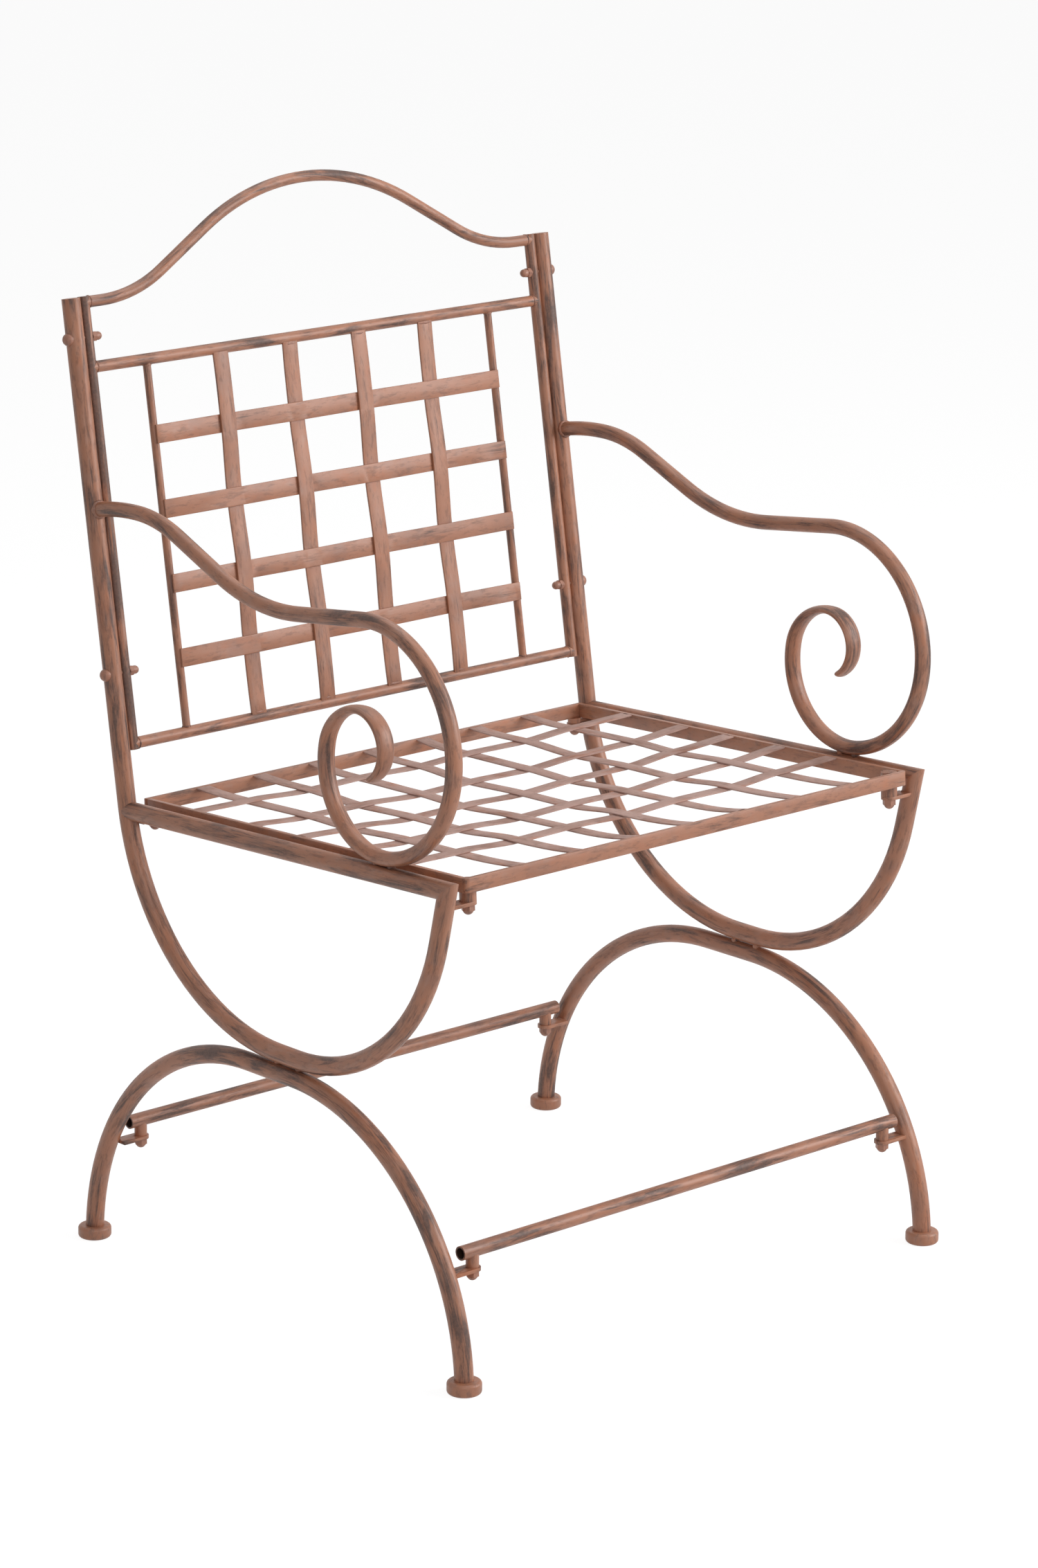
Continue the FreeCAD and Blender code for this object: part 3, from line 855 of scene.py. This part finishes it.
@dataclass
class BackFrame:
    """The back's round frame with its crest and the woven strips inside it."""

    foot: Pair = (193.5, 420.0)
    side_bar_x: float = 253.7
    crest_end_s: float = 409.5
    crest_level: float = 8.0
    heel_r: float = 130.0
    crown_r: float = 225.0
    crest_angle: float = 31.0
    crest_slope: float = 49.0
    edge: float = 0.45
    rows: int = 4

    def crest(self) -> Route:
        """Gives the crest rail's centre line.

        Returns:
            The line from left to right.
        """
        origin = Vector((0, self.foot[0] * MM - MIDDLE_Y, self.foot[1] * MM))
        route = Route((-self.side_bar_x * MM, self.crest_end_s * MM), 0, origin, (ACROSS, UP_THE_BACK))
        route.line(self.crest_level * MM).arc(self.heel_r * MM, self.crest_angle)
        route.line(self.crest_slope * MM).arc(self.crown_r * MM, -2 * self.crest_angle)
        route.line(self.crest_slope * MM).arc(self.heel_r * MM, self.crest_angle)
        return route.line(self.crest_level * MM)

    def build(self, bench: Bench) -> None:
        """Dresses the back.

        Args:
            bench: Takes, paints and hangs the pieces.
        """
        bench.dress("crest_rail", Finish.FRAME, self.crest())
        bench.dress("back_top_rail", Finish.FRAME, Straight(ACROSS))
        bench.dress("back_bottom_rail", Finish.FRAME, Straight(ACROSS))
        for side in Side:
            # The left side bar takes the darker copy: painted shade, as it lies in the upright's shadow.
            coat = Finish.SHADE if side is Side.LEFT else Finish.FRAME
            bench.dress("back_side_bar_" + side.tail, coat, Straight(UP_THE_BACK))
            bench.dress("back_edge_bar_" + side.tail, Finish.FRAME, Straight(UP_THE_BACK))
        for k in range(1, self.rows + 1):
            bench.dress(f"back_level_strip_{k}", Finish.STRIP, Straight(ACROSS), self.edge)
            bench.dress(f"back_upright_strip_{k}", Finish.STRIP, Straight(UP_THE_BACK), self.edge)


@dataclass
class SeatFrame:
    """The flat-bar seat frame and its sagging weave."""

    long_rows: int = 7
    cross_rows: int = 5
    strip_edge: float = 0.3
    bar_edge: float = 0.6

    def build(self, bench: Bench) -> None:
        """Dresses the seat.

        Args:
            bench: Takes, paints and hangs the pieces.
        """
        for end in ("front", "rear"):
            bench.dress(f"seat_{end}_rail", Finish.STRIP, Straight(ACROSS), self.bar_edge)
        for side in Side:
            bench.dress("seat_side_rail_" + side.tail, Finish.STRIP, Straight(DOWN_THE_SEAT), self.bar_edge)
        for k in range(1, self.long_rows + 1):
            bench.dress(f"seat_long_strip_{k}", Finish.WEAVE, Straight(DOWN_THE_SEAT), self.strip_edge)
        for k in range(1, self.cross_rows + 1):
            bench.dress(f"seat_cross_strip_{k}", Finish.WEAVE, Straight(ACROSS), self.strip_edge)


@dataclass
class Fixings:
    """Stretchers, tabs, bosses, studs, nuts and bolts."""

    tab_edge: float = 0.3
    groups: Sequence[str] = ("back_bolts", "back_cap_nuts", "cap_nuts", "frame_studs")
    boss_top: float = 419.0
    boss_cut: float = 3.4

    def shorten(self, piece: bpy.types.Object) -> None:
        """Lowers the top of the seat's left front boss until the bars hide it.

        Args:
            piece: The four bosses.
        """
        take(piece)
        bpy.ops.object.mode_set(mode="EDIT")
        bpy.ops.mesh.select_mode(type="VERT")
        bpy.ops.mesh.select_all(action="DESELECT")
        bpy.ops.object.mode_set(mode="OBJECT")
        for vertex in piece.data.vertices:
            vertex.select = vertex.co.x < 0 and vertex.co.y < 0 and vertex.co.z > self.boss_top * MM
        bpy.ops.object.mode_set(mode="EDIT")
        bpy.ops.transform.translate(value=(0, 0, -self.boss_cut * MM))
        bpy.ops.object.mode_set(mode="OBJECT")

    def build(self, bench: Bench) -> None:
        """Dresses the fixings.

        Args:
            bench: Takes, paints and hangs the pieces.
        """
        for end in ("front", "rear"):
            bench.shade_bore(bench.dress(end + "_stretcher", Finish.FRAME, Straight(ACROSS)))
            for side in Side:
                for place in ("seat", "stretcher"):
                    tab = f"{place}_tab_{end}_{side.tail}"
                    bench.dress(tab, Finish.FRAME, Straight(ACROSS), self.tab_edge)
        self.shorten(bench.dress("seat_bosses", Finish.FRAME, Straight(UP)))
        bench.dress("stretcher_bosses", Finish.FRAME, Straight(UP))
        bench.dress("weld_beads", Finish.FRAME, Straight(BACKWARD))
        for group in self.groups:
            bench.dress(group, Finish.FASTENER, Straight(UP))


@dataclass
class Welds:
    """The small welds where rods, strips, tabs and arms meet the frame."""

    seat_half_x: float = 247.7
    seat_front: float = -224.0
    seat_rear: float = 181.5
    seat_top: float = 414.2
    long_pitch: float = 62.4
    long_shift: float = -4.0
    long_half: int = 3
    cross_left: Sequence[float] = (-151.5, -86.0, -20.0, 43.0, 117.0)
    cross_right: Sequence[float] = (-141.5, -78.0, -14.0, 44.0, 118.0)
    back_foot: Pair = (193.5, 420.0)
    rod_x: float = 248.7
    rod_heights: Sequence[float] = (32.0, 354.2, 409.5)
    edge_x: float = 194.5
    strip_bays: int = 5
    arm_joint: Pair = (222.6, 653.2)
    arm_dip: float = 11.9
    tab_x: float = 259.6
    seat_tabs: Sequence[Pair] = ((-217.3, 401.2), (185.5, 387.4))
    stretcher_tabs: Sequence[Pair] = ((-221.0, 93.0), (217.5, 93.0))
    sink: float = 1.3
    long_weld: Triple = (6.2, 1.5, 1.3)
    cross_weld: Triple = (1.5, 6.2, 1.3)
    tab_weld: Triple = (1.5, 4.2, 2.2)
    strip_weld: Triple = (7.0, 1.3, 1.2)
    strip_up: float = 4.9
    strip_out: float = 3.0
    rod_ring: Pair = (4.7, 0.8)
    edge_ring: Pair = (3.3, 0.7)
    edge_up: float = 5.0
    arm_ring: Pair = (6.5, 1.5)
    uneven: float = 0.15
    stray: float = 0.3
    ripple: float = 0.3
    dice: random.Random = field(default_factory=lambda: random.Random(7))

    def lump(self, place: Vector, size: Triple, lean: float = 0.0) -> None:
        """Adds one run of weld to the mesh being edited.

        Args:
            place: Its middle in the chair's frame, in millimetres.
            size: Its half sizes across, backward and up, in millimetres.
            lean: How far it is turned about X, in radians.
        """
        sizes = [MM * s * self.dice.uniform(1 - self.uneven, 1 + self.uneven) for s in size]
        shift = Vector([self.dice.uniform(-self.stray, self.stray) for _ in range(3)])
        bpy.ops.mesh.primitive_ico_sphere_add(subdivisions=3, radius=1.0, location=(place + shift) * MM,
                                              rotation=(lean, 0, 0), scale=sizes)

    def collar(self, place: Vector, turn: Triple, ring: Pair) -> None:
        """Adds a ring of weld around a rod's end.

        Args:
            place: Its middle in the chair's frame, in millimetres.
            turn: Its rotation, from an axis along Z.
            ring: The radii of the ring and of the weld, in millimetres.
        """
        bpy.ops.mesh.primitive_torus_add(
            major_radius=ring[0] * MM, minor_radius=ring[1] * MM, major_segments=28, minor_segments=10,
            location=place * MM, rotation=turn)

    def on_seat(self, x: float, y: float) -> Vector:
        """Gives a weld's place at the seat frame's top, in millimetres from y = 0 between the feet."""
        return from_feet(x, y, self.seat_top - y * math.tan(SEAT_SLOPE) - self.sink)

    def on_back(self, x: float, height: float) -> Vector:
        """Gives the place at x and at a height along the back's slope, in millimetres."""
        return from_feet(0, *self.back_foot) + UP_THE_BACK * height + ACROSS * x

    def seat(self) -> None:
        """Adds the welds at the ends of the seat strips and at the tabs."""
        for k in range(-self.long_half, self.long_half + 1):
            for y in (self.seat_front, self.seat_rear):
                self.lump(self.on_seat(self.long_shift + self.long_pitch * k, y), self.long_weld, -SEAT_SLOPE)
        for ends in zip(self.cross_left, self.cross_right):
            for side, y in zip(Side, ends):
                self.lump(self.on_seat(side.value * self.seat_half_x, y), self.cross_weld, -SEAT_SLOPE)
        for side in Side:
            for y, z in (*self.seat_tabs, *self.stretcher_tabs):
                self.lump(from_feet(side.value * self.tab_x, y, z), self.tab_weld)

    def back(self) -> None:
        """Adds the welds of the back's rods and strips and of the arms."""
        low, high = self.rod_heights[:2]
        for side in Side:
            for height in self.rod_heights:
                self.collar(self.on_back(side.value * self.rod_x, height), (0, math.pi / 2, 0), self.rod_ring)
            for height in (low + self.edge_up, high - self.edge_up):
                self.collar(self.on_back(side.value * self.edge_x, height), (-LEAN, 0, 0), self.edge_ring)
            self.collar(from_feet(side.value * SIDE_X / MM, *self.arm_joint),
                        (math.pi / 2 - math.radians(self.arm_dip), 0, 0), self.arm_ring)
        pitch = 2 * self.edge_x / self.strip_bays
        for k in range(1, self.strip_bays):
            for height in (low + self.strip_up, high - self.strip_up):
                spot = self.on_back(pitch * k - self.edge_x, height) + OUT_OF_THE_BACK * self.strip_out
                self.lump(spot, self.strip_weld, -LEAN)

    def build(self, bench: Bench) -> None:
        """Models all the welds as one mesh.

        Args:
            bench: Takes, paints and hangs the pieces.
        """
        let_go()
        bpy.ops.mesh.primitive_ico_sphere_add(subdivisions=1, radius=MM, location=(0, 0, 0))
        piece = bpy.context.object
        piece.name = "small_welds"
        bpy.ops.object.mode_set(mode="EDIT")
        bpy.ops.mesh.select_all(action="SELECT")
        bpy.ops.mesh.delete(type="VERT")
        self.seat()
        self.back()
        bpy.ops.mesh.select_all(action="SELECT")
        bpy.ops.transform.vertex_random(offset=self.ripple * MM, normal=0.6, seed=3)
        bpy.ops.object.mode_set(mode="OBJECT")
        bpy.ops.object.shade_smooth()
        bench.paint(piece, Finish.BEAD, None)
        log.info("%s: %d faces", piece.name, len(piece.data.polygons))


# ---------------------------------------------------------------- studio


@dataclass(frozen=True)
class Lamp:
    """A soft square studio lamp aimed at the chair."""

    name: str
    place: Triple
    size: float
    power: float

    def hang(self, target: Vector) -> None:
        """Adds the lamp.

        Args:
            target: The point that it is aimed at.
        """
        data = bpy.data.lights.new(self.name, "AREA")
        data.shape = "SQUARE"
        data.size = self.size
        data.energy = self.power
        lamp = bpy.data.objects.new(self.name, data)
        bpy.context.scene.collection.objects.link(lamp)
        lamp.location = self.place
        lamp.rotation_euler = (target - lamp.location).to_track_quat("-Z", "Y").to_euler()


@dataclass
class Studio:
    """Floor, world, lamps and camera."""

    eye: Triple = (-2.9066, -3.2357, 1.5873)
    azimuth: float = -42.04
    elevation: float = 12.64
    roll: float = 0.247
    focal_px: float = 7578.0
    centre_px: Pair = (741.9, 800.0)
    frame_px: tuple[int, int] = (1500, 2265)
    sensor: float = 36.0
    far: float = 50.0
    world_level: float = 0.22
    floor_radius: float = 16.0
    lamp_target: Triple = (0, 0, 0.45)
    lamps: Sequence[Lamp] = (
        Lamp("key", (2.5, -2.6, 1.9), 2.3, 94.0),
        Lamp("fill", (-2.2, -2.8, 2.2), 2.0, 24.0),
        Lamp("top", (0.6, 0.2, 3.2), 2.2, 26.0),
    )

    def camera(self) -> None:
        """Places the camera and makes it the scene's own."""
        a, e, r = (math.radians(v) for v in (self.azimuth, self.elevation, self.roll))
        right = Vector((math.cos(a), math.sin(a), 0))
        back = Vector((math.sin(a) * math.cos(e), -math.cos(a) * math.cos(e), math.sin(e)))
        up = back.cross(right)
        turned = math.cos(r) * right + math.sin(r) * up
        upward = math.cos(r) * up - math.sin(r) * right
        data = bpy.data.cameras.new("camera")
        width, height = self.frame_px
        data.sensor_width = self.sensor
        data.lens = self.sensor * self.focal_px / height
        data.shift_x = (width / 2 - self.centre_px[0]) / height
        data.shift_y = (self.centre_px[1] - height / 2) / height
        data.clip_end = self.far
        camera = bpy.data.objects.new("camera", data)
        bpy.context.scene.collection.objects.link(camera)
        turn = Matrix((turned, upward, back)).transposed().to_4x4()
        camera.matrix_world = Matrix.Translation(Vector(self.eye)) @ turn
        bpy.context.scene.camera = camera

    def world(self) -> None:
        """Lights the chair evenly and shows white behind it."""
        world = bpy.data.worlds.new("studio")
        bpy.context.scene.world = world
        graph = Graph(world)
        soft = graph.add("ShaderNodeBackground", inputs={"Color": WHITE, "Strength": self.world_level})
        white = graph.add("ShaderNodeBackground", inputs={"Color": WHITE})
        seen = graph.seen_by("Is Camera Ray", "Is Glossy Ray", "Is Transmission Ray")
        mix = graph.add("ShaderNodeMixShader", inputs={0: seen, 1: soft.outputs[0], 2: white.outputs[0]})
        graph.finish(mix, "ShaderNodeOutputWorld")

    def floor(self) -> None:
        """Lays the floor."""
        let_go()
        bpy.ops.mesh.primitive_circle_add(vertices=96, radius=self.floor_radius, fill_type="NGON",
                                          location=(0, 0, 0))
        floor = bpy.context.object
        floor.name = "floor"
        floor.data.materials.append(StudioFloor().make())

    def build(self) -> None:
        """Builds the whole studio."""
        self.camera()
        self.world()
        self.floor()
        for lamp in self.lamps:
            lamp.hang(Vector(self.lamp_target))
        bpy.context.scene.view_settings.view_transform = "Standard"


def main() -> None:
    """Builds the studio and the chair."""
    logging.basicConfig(level=logging.INFO, format="%(message)s")
    Studio().build()
    bench = Bench(PaintShelf())
    for assembly in (SideFrames(), Armrests(), BackFrame(), SeatFrame(), Fixings(), Welds()):
        log.info("building %s", type(assembly).__name__)
        assembly.build(bench)
    let_go()


if __name__ == "__main__":
    main()
